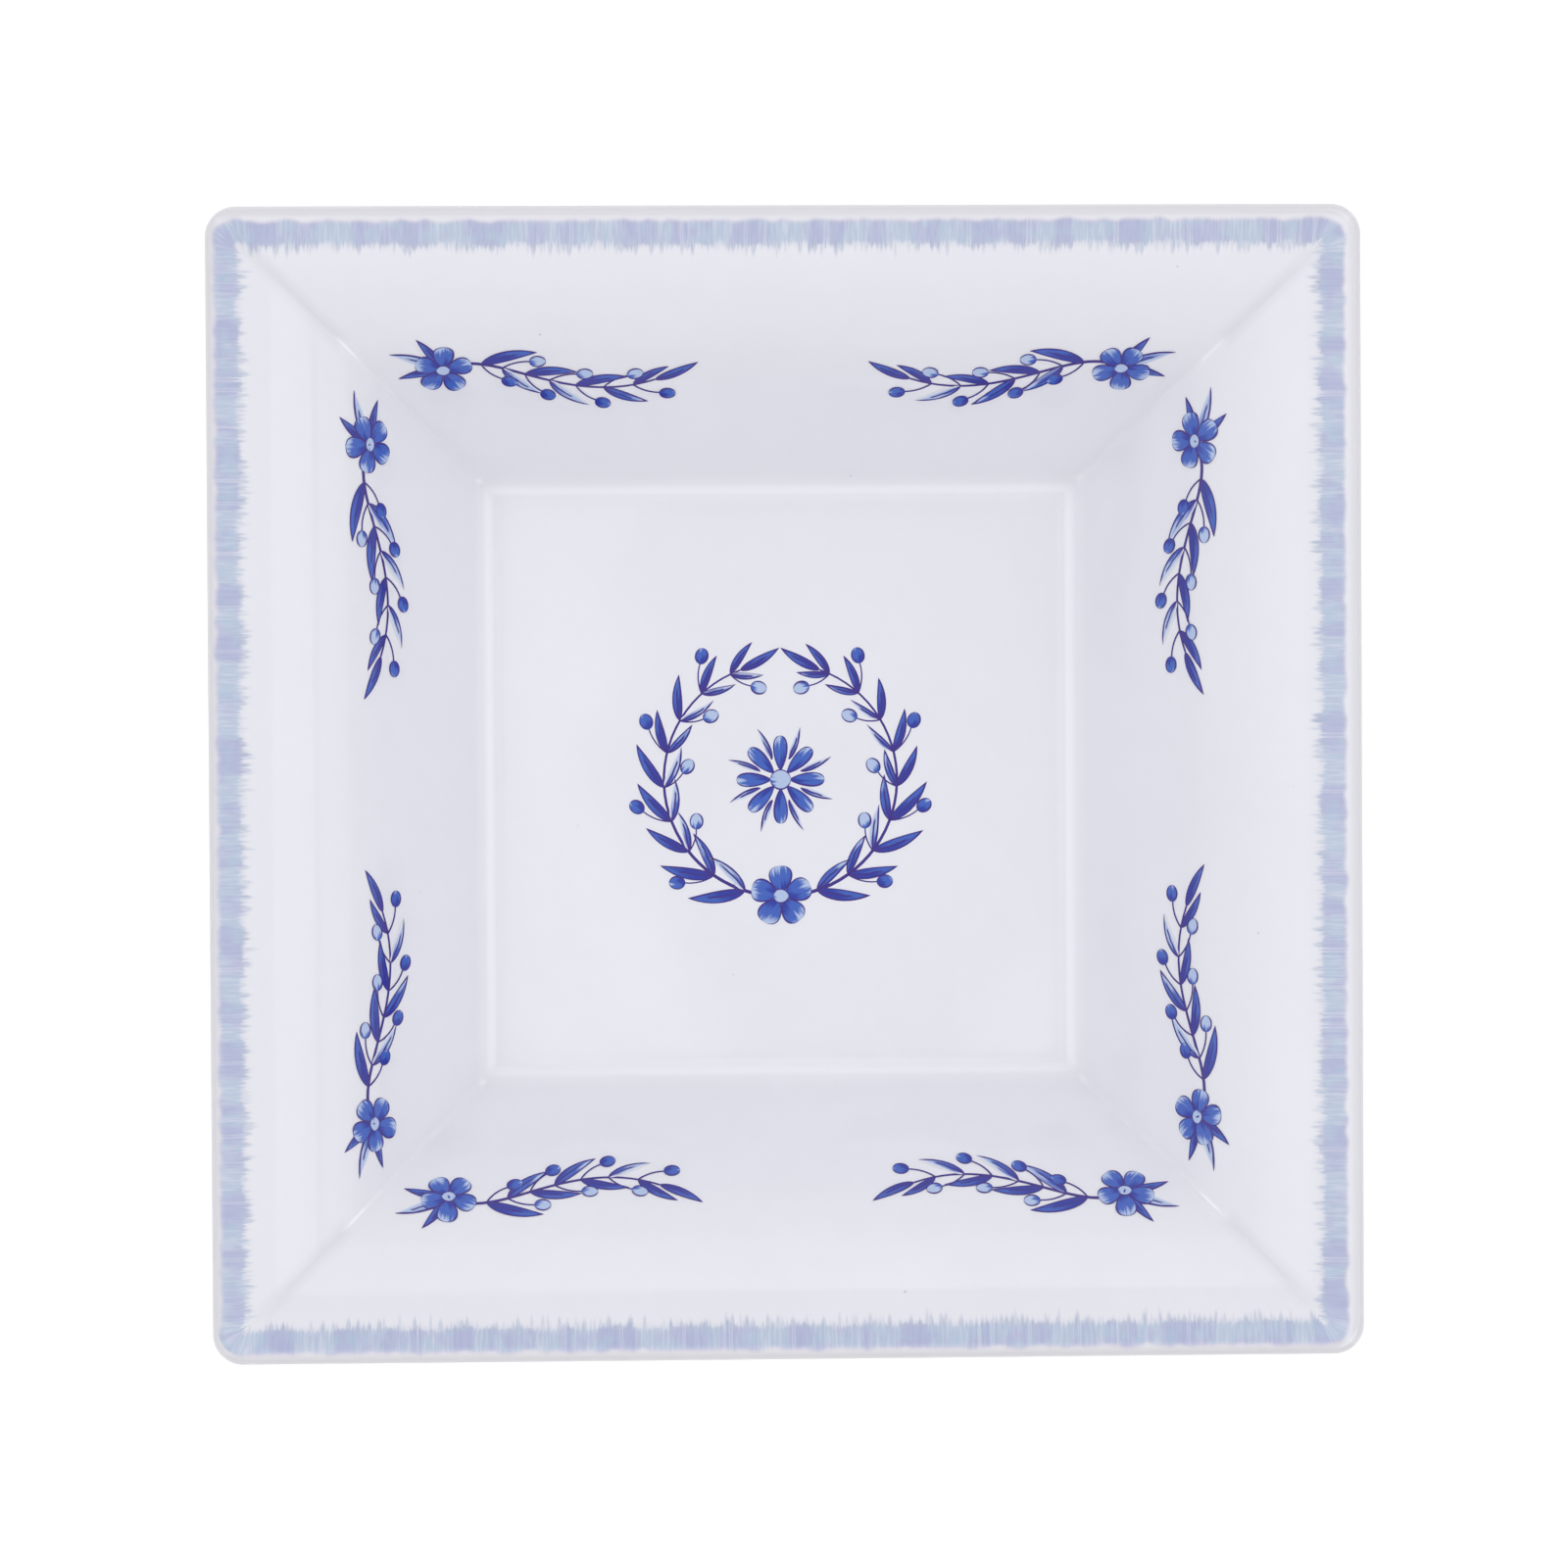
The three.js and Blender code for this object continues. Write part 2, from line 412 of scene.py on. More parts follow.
class Finish(Nodes):
    """A material."""

    def __init__(self, name):
        self.material = bpy.data.materials.new(name)
        self.material.use_nodes = True
        super().__init__(self.material.node_tree)

    def attribute(self, name):
        return self.add("ShaderNodeAttribute", {"attribute_name": name}, output="Fac")

    def blend(self, share, first, second):
        """Mixes two colours."""
        return self.add(
            "ShaderNodeMix", {"data_type": "RGBA"}, {"Factor": share, 6: first, 7: second}, output=2,
        )

    def place(self):
        return self.add("ShaderNodeTexCoord", output="Object")

    def noise(self, scale, detail=1.0):
        """Soft noise in space, with a scale in patches to the metre."""
        inputs = {"Vector": self.place(), "Scale": scale, "Detail": detail}
        return self.add("ShaderNodeTexNoise", None, inputs)

    def noise_along(self, place, detail=0.0):
        """Soft noise along a line, one patch to each whole step of the place."""
        return self.add(
            "ShaderNodeTexNoise", {"noise_dimensions": "1D"}, {"W": place, "Scale": 1.0, "Detail": detail},
        )

    def noise_over(self, across, down, layer=0.0, detail=1.0):
        """Soft noise over a sheet, one patch to each whole step of its two places."""
        place = self.add("ShaderNodeCombineXYZ", None, {"X": across, "Y": down, "Z": layer})
        return self.add("ShaderNodeTexNoise", None, {"Vector": place, "Scale": 1.0, "Detail": detail})

    def chance(self, place):
        """A random value from 0 to 1 for each place."""
        return self.add("ShaderNodeTexWhiteNoise", {"noise_dimensions": "1D"}, {"W": place})

    def surface(self, inputs):
        """Ends the material with its surface."""
        shader = self.add("ShaderNodeBsdfPrincipled", None, inputs)
        self.add("ShaderNodeOutputMaterial", None, {"Surface": shader})
        return self.material


# Finishes.

GLAZE_ROUGHNESS = 0.03
GLAZE_IOR = 1.5
SPECK_SPACING = 9 * MM

# Where the glaze's colour differs, with painted shade and a painted highlight, by the distance out from the
# axis towards a side.
LIP_SHADE_START = 126.2 * MM  # painted shade over the lip's edge, from here out
LIP_SHADE_END = 128.2 * MM
WELL_HIGHLIGHT_LINE = (65.7 * MM, 66.6 * MM, 67.2 * MM, 68.8 * MM)  # a painted highlight grows and fades again round the well's edge
WELL_HIGHLIGHT_SHARE = 0.85
WELL_HIGHLIGHT_LEVEL = (7 * MM, 8 * MM)  # between the underside and the floor of the well
CREASE_SHADE_WIDTH = 4.4 * MM  # painted shade lies this far to both sides of a mitre on the flare
CREASE_SHADE_FADE = (118 * MM, 124 * MM)  # and less and less towards the lip
CREASE_SHADE_SHARE = 0.85
FLARE_LEVEL = (15 * MM, 16 * MM)  # between the flare's back and its face, brought level by the slope
FLARE_SLOPE = FLARE_DROP / FLARE_WIDTH


def scaled(colour, factor):
    return (*(channel * factor for channel in colour[:3]), 1.0)


def specks(finish):
    """Fine specks from the firing, one here and there."""
    cells = finish.add("ShaderNodeTexVoronoi", None, {"Vector": finish.place(), "Scale": 1 / SPECK_SPACING})
    colour = Value(finish, cells.socket.node.outputs["Color"])
    chance = Value(finish, finish.add("ShaderNodeSeparateColor", None, {"Color": colour}).socket)
    size = 0.045 * chance.ramp(0.55, 1.0)
    return (cells - size).ramp(0.012, -0.012) * chance.ramp(0.55, 0.6)


def glaze_colour(finish):
    """White glaze: faintly cloudy, with painted shade over the lip, a painted highlight round the well and
    painted shade in the mitres.
    """
    cloud = finish.noise(24, 2).ramp(0.3, 0.7)
    fleck = finish.noise(160, 2).ramp(0.3, 0.7)
    white = finish.blend(0.6 * cloud + 0.4 * fleck, scaled(GLAZE_WHITE, 0.99), scaled(GLAZE_WHITE, 1.01))
    east, north, height = finish.parts(finish.place())
    reach = abs(east).most(abs(north))
    # painted shade over the lip's edge
    white = finish.blend(reach.ramp(LIP_SHADE_START, LIP_SHADE_END), white, GLAZE_LIP_SHADE)
    # painted highlight: a whiter line round the edge of the well
    start, grown, fading, end = WELL_HIGHLIGHT_LINE
    well_highlight = WELL_HIGHLIGHT_SHARE * reach.ramp(start, grown) * reach.ramp(end, fading) * height.ramp(*WELL_HIGHLIGHT_LEVEL)
    white = finish.blend(well_highlight, white, GLAZE_WELL_HIGHLIGHT)
    # painted shade along the mitres' creases on the flare
    from_mitre = abs(abs(east) - abs(north))
    on_flare = (height - FLARE_SLOPE * reach).ramp(*FLARE_LEVEL) * reach.ramp(*reversed(CREASE_SHADE_FADE))
    white = finish.blend(CREASE_SHADE_SHARE * from_mitre.ramp(CREASE_SHADE_WIDTH, 0) * on_flare, white, GLAZE_CREASE_SHADE)
    return finish.blend(0.3 * specks(finish), white, SPECK)


def glaze_gloss(finish):
    """The gloss that the bare glaze and the ink under it share."""
    cloud = finish.noise(60, 2)
    swell = finish.noise(38, 1)
    bump = finish.add("ShaderNodeBump", None, {"Strength": 0.15, "Distance": 0.1 * MM, "Height": swell})
    return {
        "Roughness": GLAZE_ROUGHNESS + 0.02 * cloud,
        "IOR": GLAZE_IOR,
        "Normal": bump,
    }


def glaze_finish():
    finish = Finish("white_glaze")
    return finish.surface({"Base Color": glaze_colour(finish), **glaze_gloss(finish)})


def biscuit_finish():
    """Bare fired clay, fine grained and a little stained."""
    finish = Finish("bare_clay")
    stain = finish.noise(90, 4)
    grain = finish.noise(2400, 2)
    colour = finish.blend(stain.ramp(0.35, 0.7), BISCUIT, BISCUIT_SHADE)
    bump = finish.add("ShaderNodeBump", None, {"Strength": 0.3, "Distance": 0.05 * MM, "Height": grain})
    return finish.surface({"Base Color": colour, "Roughness": 0.8 + 0.1 * grain, "Normal": bump})


class Brush:
    """Marks of a brush's hairs, square to the edge."""

    def __init__(self, finish, along, inward):
        self.finish = finish
        self.along = along
        self.inward = inward

    def hairs(self, spacing, seed):
        """Where a point is across its hair, from 0 on the middle to 1, and the hair's number."""
        sway = self.finish.noise_along(self.along / (3 * spacing) + seed)
        place = (self.along + 0.6 * spacing * sway) / spacing + seed
        return abs(place.fraction() - 0.5) * 2, place.floor()

    def length(self, number, shortest, longest):
        """A hair's own length, more often short than long."""
        return shortest + (longest - shortest) * self.finish.chance(number) ** 2

    def comb(self, spacing, seed, root, shortest, longest):
        """A row of hairs that are one up to the root, and then part and end one by one."""
        across, number = self.hairs(spacing, seed)
        length = self.length(number, shortest, longest)
        parting = root + 1.6 * self.finish.chance(number + 0.37)
        width = 1.4 - ((self.inward - parting) / (length - parting)).most(0).least(1)
        return (across - width).ramp(0.5, -0.5) * (self.inward - length).ramp(0.9, -0.9)

    def strays(self, spacing, seed, thickness, shortest, longest):
        """Single hairs that reach farther, and thin out to a point."""
        across, number = self.hairs(spacing, seed)
        left = (1 - self.inward / self.length(number, shortest, longest)).most(0)
        return (across - thickness * left ** 0.5).ramp(0.2, -0.2) * left.ramp(0, 0.25)


DAB_LENGTH = 8.5
BAND_START = 2.2  # in from the lip's outside, and up to a wave farther
BAND_WAVE = 1.4
WAVE_LENGTH = 5.0
HAIR_ROOT = 6.2  # the hairs begin to part here, and farther in on a dab
COARSE_HAIR = 1.15
FINE_HAIR = 0.75
STRAY_SPACING = 3.3
WASH_END = 8.0  # middle of the fading edge of the thin wash between the hairs


def band_finish():
    """The feathered edge: pale blue dabs brushed in from the lip, parting into hairs on the white glaze."""
    finish = Finish("feathered_edge")
    # The band's map is in millimetres, along the edge and in from it, and so are these lengths.
    along, inward, _ = finish.parts(finish.add("ShaderNodeUVMap", {"uv_map": "band"}))
    brush = Brush(finish, along, inward)
    dab = finish.noise_along(along / DAB_LENGTH, 1).ramp(0.36, 0.62)
    outer = BAND_START + BAND_WAVE * finish.noise_along(along / WAVE_LENGTH + 71, 1)
    body = (inward - outer).ramp(-0.6, 0.7)
    root = HAIR_ROOT + 1.2 * dab
    coarse = brush.comb(COARSE_HAIR, 40.7, root, 8.1 + 0.6 * dab, 10.9)
    fine = brush.comb(FINE_HAIR, 11.9, root, 7.9 + 0.6 * dab, 10.3)
    comb = 0.6 * coarse + 0.4 * fine
    strays = brush.strays(STRAY_SPACING, 3.3, 0.35, 9.4, 13.0)
    washed = 0.72 * (inward - WASH_END).ramp(1.9, -1.9)
    streak = finish.noise_over(along / 0.6, inward / 7.0, 9.0, 2).ramp(0.3, 0.6)
    watery = (0.64 + 0.36 * streak.most(0.75 * dab)) * (0.85 + 0.15 * dab)
    density = body * comb.most(washed).most(0.55 * strays) * watery
    patch = finish.noise_over(along / 4.0, inward / 4.5, 33.0) - 0.25 * dab
    colour = finish.blend(patch.ramp(0.2, 0.5), BAND_LAVENDER, BAND_SKY)
    colour = finish.blend(0.7 * inward.ramp(7.2, 9.2), colour, BAND_TIP)
    colour = finish.blend((inward - outer).ramp(1.1, -0.2) * 0.7, colour, BAND_LILAC)
    colour = finish.blend(density, glaze_colour(finish), colour)
    return finish.surface({"Base Color": colour, **glaze_gloss(finish)})


INK_LAYERS = ("along", "reach", "lateral", "edge", "tone", "vein", "seed")


def print_finish():
    """Cobalt ink: fine dark lines, and fills brushed along each leaf from deep blue to a pale wash."""
    finish = Finish("cobalt_print")
    along, reach, lateral, edge, tone, vein, seed = (finish.attribute(name) for name in INK_LAYERS)
    streak = finish.noise_over(0.2 * reach, 1.9 * lateral, seed, 2) - 0.5
    waver = finish.noise_along(0.4 * reach + seed) - 0.5
    dark_side = lateral.ramp(0.2, -0.2)
    # A pale leaf with a vein is lined on its dark side only, and dissolves on the other side.
    outlined = tone.ramp(0.4, 0.5).most(1 - vein)
    weight = 0.3 + 0.13 * dark_side + 0.2 * waver
    line = (edge - weight).ramp(0.09, -0.09) * dark_side.most(outlined)
    spine = abs(lateral - 0.25 * waver).ramp(0.27, 0.13) * (along + 0.2 * waver).ramp(0.72, 0.6) * vein
    filled = 1.3 * tone - along + 0.9 * streak + 0.18 * dark_side
    pooled = tone - 1.2 * along + 0.8 * streak + 0.3 * dark_side
    colour = finish.blend(filled.ramp(-0.12, 0.22), INK_WASH, INK_COBALT)
    colour = finish.blend(pooled.ramp(0.2, 0.65), colour, INK_DEEP)
    wet = edge.ramp(0.0, 0.75).most(dark_side).most(outlined)
    colour = finish.blend(wet, glaze_colour(finish), colour)
    colour = finish.blend(line.most(spine), colour, INK_LINE)
    return finish.surface({"Base Color": colour, **glaze_gloss(finish)})


# Making a piece of a finished mesh.

def make_piece(name, bm, material, slot, *nodes):
    """A piece of the dish from a finished mesh, standing for the solids that it replaces."""
    mesh = bpy.data.meshes.new(name)
    bm.to_mesh(mesh)
    bm.free()
    mesh.shade_smooth()
    mesh.set_sharp_from_angle(angle=SHARP_ANGLE)
    mesh.materials.append(material)
    piece = bpy.data.objects.new(name, mesh)
    bpy.context.scene.collection.objects.link(piece)
    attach(piece, "root")
    if nodes:
        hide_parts(*nodes)
    return piece


# The feathered band.

RIM_HALF = RIM_WIDTH / 2
FAN_RADIUS = 10 * MM  # strokes fan round a point this far in from both edges of a corner
FAN_ARC = 7.5 * MM  # width of the strokes' fan for each radian
FAN_BULGE = 1.3 * MM  # how much farther the rim is from that point on the diagonal
BAND_OUTER = 1.0 * MM  # the film's edges, in from the lip's outside
BAND_INNER = 15.5 * MM
BAND_SHIFT = Vector((-1.0, -0.5)) * MM  # the band was laid a little off centre


def band_place(x, y):
    """Where a point is in the band: how far along the edge, and how far in from it."""
    reach = RIM_HALF - FAN_RADIUS
    side_length = 2 * reach + FAN_ARC * math.pi / 2
    for side, (out, along) in enumerate(((x, y), (y, -x), (-x, -y), (-y, x))):
        if out >= abs(along) and along >= -reach or min(out, along) > reach:
            break
    start = side * side_length
    if along > reach:
        angle = math.atan2(along - reach, out - reach)
        distance = math.hypot(along - reach, out - reach)
        rim = FAN_RADIUS + FAN_BULGE * math.sin(2 * angle)
        return start + 2 * reach + FAN_ARC * angle, rim - distance
    return start + reach + along, RIM_HALF - out


def make_band(coat, finish):
    """The film of the feathered band, over the lip and down the flare."""
    stretch = []
    for station in coat:
        inset = RIM_HALF - station.at.x
        if station.normal.y > 0.2 and BAND_OUTER < inset < BAND_INNER:
            stretch.append(station)
    upper = offset(stretch, INK_LIFT)
    lower = offset(stretch, INK_LIFT - INK_THICKNESS)
    bm = press_square([*upper, *reversed(lower)], closed=True)
    whole = 4 * (2 * (RIM_HALF - FAN_RADIUS) + FAN_ARC * math.pi / 2)
    layer = bm.loops.layers.uv.new("band")
    for face in bm.faces:
        places = [band_place(*(loop.vert.co.xy - BAND_SHIFT)) for loop in face.loops]
        farthest = max(along for along, inward in places)
        for loop, (along, inward) in zip(face.loops, places):
            wrapped = along + whole if farthest - along > whole / 2 else along
            loop[layer].uv = (wrapped / MM, inward / MM)
    return make_piece("feathered_band", bm, finish, "glaze")


# The printed decoration: leaves, petals and berries as blades of ink, and stems as ribbons.

BLADE_STEPS = 14
BLADE_ROWS = 4


def leaf_width(along):
    """A pointed leaf, widest below its middle."""
    return 1.85 * along ** 0.65 * (1 - along) ** 0.95


def petal_width(along):
    """A blunt petal, widest towards its tip."""
    return 1.62 * along ** 0.8 * (1 - along) ** 0.42


def round_width(along):
    return 2 * math.sqrt(max(along * (1 - along), 0))


def heading_vector(heading):
    return Vector((math.cos(heading), math.sin(heading)))


def heading_of(ahead):
    return math.atan2(ahead.y, ahead.x)


class Print:
    """Blades of ink drawn on a flat sheet in millimetres, then laid on the glaze as one film."""

    def __init__(self, lay, rng):
        self.lay = lay
        self.rng = rng
        self.bm = bmesh.new()
        self.layers = {name: self.bm.verts.layers.float.new(name) for name in INK_LAYERS}
        self.depth = self.bm.verts.layers.float.new("depth")

    def sheet(self, steps, rows, depth, place):
        """A sheet of ink: place gives each point's spot and its ink values from its grid shares."""
        seed = self.rng.uniform(0, 50)
        made = bmesh.ops.create_grid(self.bm, x_segments=steps, y_segments=rows, size=0.5)
        for vert in made["verts"]:
            spot, values = place(vert.co.x + 0.5, 2 * vert.co.y)
            vert.co = (*self.lay(spot), 0)
            vert[self.depth] = depth
            vert[self.layers["seed"]] = seed
            for name, value in values.items():
                vert[self.layers[name]] = value

    def blade(self, root, heading, length, width, shape, tone, bend=0.0, level=1, vein=1.0):
        """A leaf, petal or berry that grows from its root along a heading."""
        def place(share, across):
            along = (1 - math.cos(math.pi * share)) / 2
            side = heading_vector(heading + bend * along + math.pi / 2)
            spine = root + heading_vector(heading + bend * along / 2) * (length * along)
            half = width / 2 * shape(along)
            values = {
                "along": along, "reach": length * along, "lateral": half * across,
                "edge": half * (1 - abs(across)), "tone": tone, "vein": vein,
            }
            return spine + side * (half * across), values
        self.sheet(BLADE_STEPS, BLADE_ROWS, level, place)

    def leaf(self, root, heading, length, tone, bend=0.0, level=1):
        self.blade(root, heading, length, 0.35 * length, leaf_width, tone, bend, level)

    def stem(self, path, thick, thin, level=0):
        """A stroke along a path of points, thick at its start and thin at its end."""
        def place(share, across):
            spot, ahead = along_path(path, share)
            side = Vector((-ahead.y, ahead.x))
            return spot + side * (mix(thick, thin, share) / 2 * across), {"tone": 1}
        self.sheet(len(path) - 1, 1, level, place)

    def berry(self, root, heading, stalk, tone, bend=0.6, level=2):
        """A berry on a curved stalk."""
        path = curve_ahead(root, heading, stalk, bend)
        self.stem(path, 0.36, 0.3, level)
        ahead = heading_of(path[-1] - path[-2])
        self.blade(path[-1], ahead, 3.8, 3.2, round_width, tone, 0, level + 1, 0)

    def blossom(self, middle, petals, radius, tone, turn=0.0, level=3):
        """A small open flower of round petals about a pale eye."""
        width = 2.0 * radius * math.sin(math.pi / petals)
        for index in range(petals):
            heading = turn + math.tau * index / petals
            root = middle + heading_vector(heading) * (0.1 * radius)
            length = 0.9 * radius * self.rng.uniform(0.94, 1.06)
            self.blade(root, heading, length, 0.86 * width, petal_width, tone, 0.08, level + index % 2, 0)
        self.eye(middle, 0.24 * radius, level + 2)

    def eye(self, middle, radius, level):
        start = middle - Vector((radius, 0))
        self.blade(start, 0, 2 * radius, 2 * radius, round_width, 0.0, 0, level, 0)

    def film(self, name, tree, finish):
        """Lays the ink on the glaze and gives it its thickness."""
        bm = self.bm
        bmesh.ops.remove_doubles(bm, verts=bm.verts[:], dist=MERGE_DISTANCE)
        for vert in bm.verts:
            spot, normal, _, _ = tree.ray_cast(Vector((vert.co.x, vert.co.y, 1)), Vector((0, 0, -1)))
            vert.co = spot + normal * (INK_LIFT + INK_STEP * vert[self.depth])
        bmesh.ops.recalc_face_normals(bm, faces=bm.faces[:])
        bmesh.ops.solidify(bm, geom=bm.faces[:], thickness=INK_THICKNESS)
        bmesh.ops.recalc_face_normals(bm, faces=bm.faces[:])
        return make_piece(name, bm, finish, "glaze")


def along_path(path, share):
    """The point at a share of a path's steps, and the heading there."""
    place = min(share, 0.9999) * (len(path) - 1)
    index = int(place)
    first, second = path[index], path[index + 1]
    return first.lerp(second, place - index), (second - first).normalized()


def curve(points, steps):
    """A smooth path by the four points of a cubic curve."""
    a, b, c, d = (Vector(point) for point in points)
    path = []
    for index in range(steps + 1):
        t = index / steps
        s = 1 - t
        path.append(a * s ** 3 + b * (3 * s * s * t) + c * (3 * s * t * t) + d * t ** 3)
    return path


def curve_ahead(root, heading, length, bend, steps=6):
    """A path of a length that sets out along a heading and turns by the bend on its way."""
    path = [root]
    for index in range(steps):
        turned_by = bend * (index + 0.5) / steps
        path.append(path[-1] + heading_vector(heading + turned_by) * (length / steps))
    return path


WREATH_RADIUS = 27
WREATH_NODES = 9
DEEP_TONES = (0.8, 1.05)  # of the leaves on the outside of a branch
PALE_TONES = (0.12, 0.6)  # of the leaves on its inside


def draw_wreath(draw):
    """Two leafy branches that rise from a blossom and nearly meet, round a rosette."""
    rng = draw.rng
    start, end = math.radians(-84), math.radians(70)
    for hand in (1, -1):
        def on_ring(share, hand=hand):
            return heading_vector(mix(start, end, share)) * Vector((hand * WREATH_RADIUS, WREATH_RADIUS))
        path = [on_ring(index / 32) for index in range(33)]
        draw.stem(path, 0.85, 0.4)
        for node in range(1, WREATH_NODES + 1):
            root, ahead = along_path(path, (node - 0.3) / WREATH_NODES)
            heading = heading_of(ahead)
            length = mix(13.5, 9.5, node / WREATH_NODES) * rng.uniform(0.93, 1.07)
            spread = 0.66 + rng.uniform(-0.07, 0.07)
            deep = rng.uniform(*DEEP_TONES)
            draw.leaf(root, heading - hand * spread, length, deep, hand * 0.4, 2 + node % 2)
            pale = rng.uniform(*PALE_TONES)
            draw.leaf(root, heading + hand * spread, 0.86 * length, pale, -hand * 0.4, 2)
            if node % 2 == 0:
                draw.berry(root, heading - hand * 1.25, 7.0, 0.75, hand * 0.7, 4)
            elif node > 1:
                draw.berry(root, heading + hand * 1.35, 5.5, 0.2, -hand * 0.7, 4)
        tip, ahead = along_path(path, 1)
        draw.leaf(tip, heading_of(ahead), 10.5, 0.85, -hand * 0.25, 4)
    draw.blossom(Vector((0, -WREATH_RADIUS)), 5, 7.4, 0.62, math.pi / 2, 6)
    for index in range(8):
        heading = math.tau * index / 8
        between = heading + math.tau / 16
        draw.blade(heading_vector(heading) * 2.0, heading, 8.2, 4.6, petal_width, 0.68, 0, 4, 0)
        draw.leaf(heading_vector(between) * 5.0, between, 8.0, 0.25, 0.1, 2)
    draw.eye(Vector((0, 0)), 2.4, 6)


SPRIG_LEAVES = 7
SPRIG_PATH = ((77, 38), (66, 30), (50, 50), (29, 41))  # along the side, and down from the lip


def draw_sprig(draw):
    """A curved sprig, from a blossom near the corner towards the middle of the side."""
    rng = draw.rng
    path = curve(SPRIG_PATH, 28)
    draw.stem(path, 0.8, 0.4)
    for node in range(1, SPRIG_LEAVES + 1):
        share = 0.12 + 0.8 * node / SPRIG_LEAVES
        root, ahead = along_path(path, share)
        heading = heading_of(ahead)
        length = mix(14.5, 10.0, share) * rng.uniform(0.93, 1.07)
        side = 1 if node % 2 else -1
        tones = DEEP_TONES if side > 0 else PALE_TONES
        draw.leaf(root, heading + side * 0.62, length, rng.uniform(*tones), -side * 0.45, 2 + node % 2)
        draw.berry(root, heading - side * 0.95, 6.5, 0.75 if node % 2 else 0.2, side * 0.7, 4)
    tip, ahead = along_path(path, 1)
    draw.leaf(tip, heading_of(ahead), 11.0, 0.85, 0.25, 4)
    blossom = path[0]
    for turn, length, tone in ((-0.55, 10.5, 0.9), (0.05, 13.0, 0.3), (0.65, 10.5, 0.95)):
        draw.leaf(blossom, turn - 0.55, length, tone, 0.3, 3)
    draw.blossom(blossom, 5, 6.6, 0.62, rng.uniform(0, 1), 6)


def developed(coat):
    """Half widths of the face, by the distance along the surface from the lip's crest."""
    face = [station for station in coat if station.normal.y > 0.5]
    face = [station for station in face if station.at.x <= RIM_HALF - WALL_THICKNESS / 2]
    face.reverse()
    distance = 0
    table = [(0, face[0].at.x)]
    for first, second in zip(face, face[1:]):
        distance += (second.at - first.at).length
        table.append((distance, second.at.x))
    return table


def wall_lay(table, side, hand):
    """Lays a sheet on one wall: along the side, and down from the lip's crest on the surface."""
    def lay(spot):
        down = spot.y * MM
        for (start, half), (end, next_half) in zip(table, table[1:]):
            if down <= end:
                break
        out = mix(half, next_half, (down - start) / (end - start))
        along = hand * spot.x * MM
        return Matrix.Rotation(side * math.pi / 2, 2) @ Vector((along, out))
    return lay


def floor_lay(spot):
    return spot * MM


# The dish.

coated, bare, base = dish_section()
coat = offset(coated, GLAZE_THICKNESS)
glaze = glaze_finish()
biscuit = biscuit_finish()
cobalt = print_finish()

coat_mesh = press_square([*coat, *reversed(coated)])
coat_tree = BVHTree.FromBMesh(coat_mesh)
make_piece("glazed_dish", coat_mesh, glaze, "glaze", "glaze_coat")
make_piece("clay_body", press_square([*coated, *bare, *base]), biscuit, "clay", "dish_body")
base_mesh = press_square([*reversed(base), *offset(base, GLAZE_THICKNESS)])
make_piece("glazed_base", base_mesh, glaze, "glaze", "base_glaze")
make_band(coat, band_finish())

rng = random.Random(26)
wreath = Print(floor_lay, rng)
draw_wreath(wreath)
wreath.film("wreath_print", coat_tree, cobalt)

face_table = developed(coat)
for side, name in enumerate(("back", "left", "front", "right")):
    sprigs = Print(wall_lay(face_table, side, 1), rng)
    draw_sprig(sprigs)
    sprigs.lay = wall_lay(face_table, side, -1)
    draw_sprig(sprigs)
    sprigs.film(f"{name}_sprigs_print", coat_tree, cobalt)


# The studio: a white floor in a light tent.

FLOOR_GAP = 0.1 * MM  # under the foot, so that the two faces don't coincide
FLOOR_SIZE = 6.0
FLOOR_GLOW = 0.85
FLOOR_WHITE = srgb(235, 235, 235)  # as it lights the dish
FLOOR_DIM = srgb(150, 150, 150)  # as it is seen, under its glow


def make_floor():
    """A plain white floor that shows as white and keeps the dish's shadow."""
    bm = bmesh.new()
    bmesh.ops.create_grid(bm, x_segments=4, y_segments=4, size=FLOOR_SIZE / 2)
    bmesh.ops.translate(bm, verts=bm.verts, vec=(0, 0, -FLOOR_GAP))
    mesh = bpy.data.meshes.new("studio_floor")
    bm.to_mesh(mesh)
    bm.free()
    finish = Finish("white_floor")
    rays = ("Is Camera Ray", "Is Glossy Ray", "Is Transmission Ray")
    camera_ray, glossy_ray, through_ray = finish.outputs("ShaderNodeLightPath", *rays)
    seen = camera_ray.most(glossy_ray).most(through_ray)
    matt = finish.add("ShaderNodeBsdfDiffuse", None, {"Color": FLOOR_WHITE})
    dim = finish.add("ShaderNodeBsdfDiffuse", None, {"Color": FLOOR_DIM})
    glow = finish.add("ShaderNodeEmission", None, {"Color": srgb(255, 255, 255), "Strength": FLOOR_GLOW})
    white = finish.add("ShaderNodeAddShader", None, {0: dim, 1: glow})
    shader = finish.add("ShaderNodeMixShader", None, {0: seen, 1: matt, 2: white})
    finish.add("ShaderNodeOutputMaterial", None, {"Surface": shader})
    mesh.materials.append(finish.material)
    floor = bpy.data.objects.new("studio_floor", mesh)
    bpy.context.scene.collection.objects.link(floor)


class Panel(NamedTuple):
    """A panel of the light tent, by the part of the sky that it fills, in degrees."""
    bearing: float  # of its middle, from +X towards +Y
    spread: float  # from side to side
    low: float  # its edges, down from straight up
    high: float
    radiance: float  # over that of the plain tent


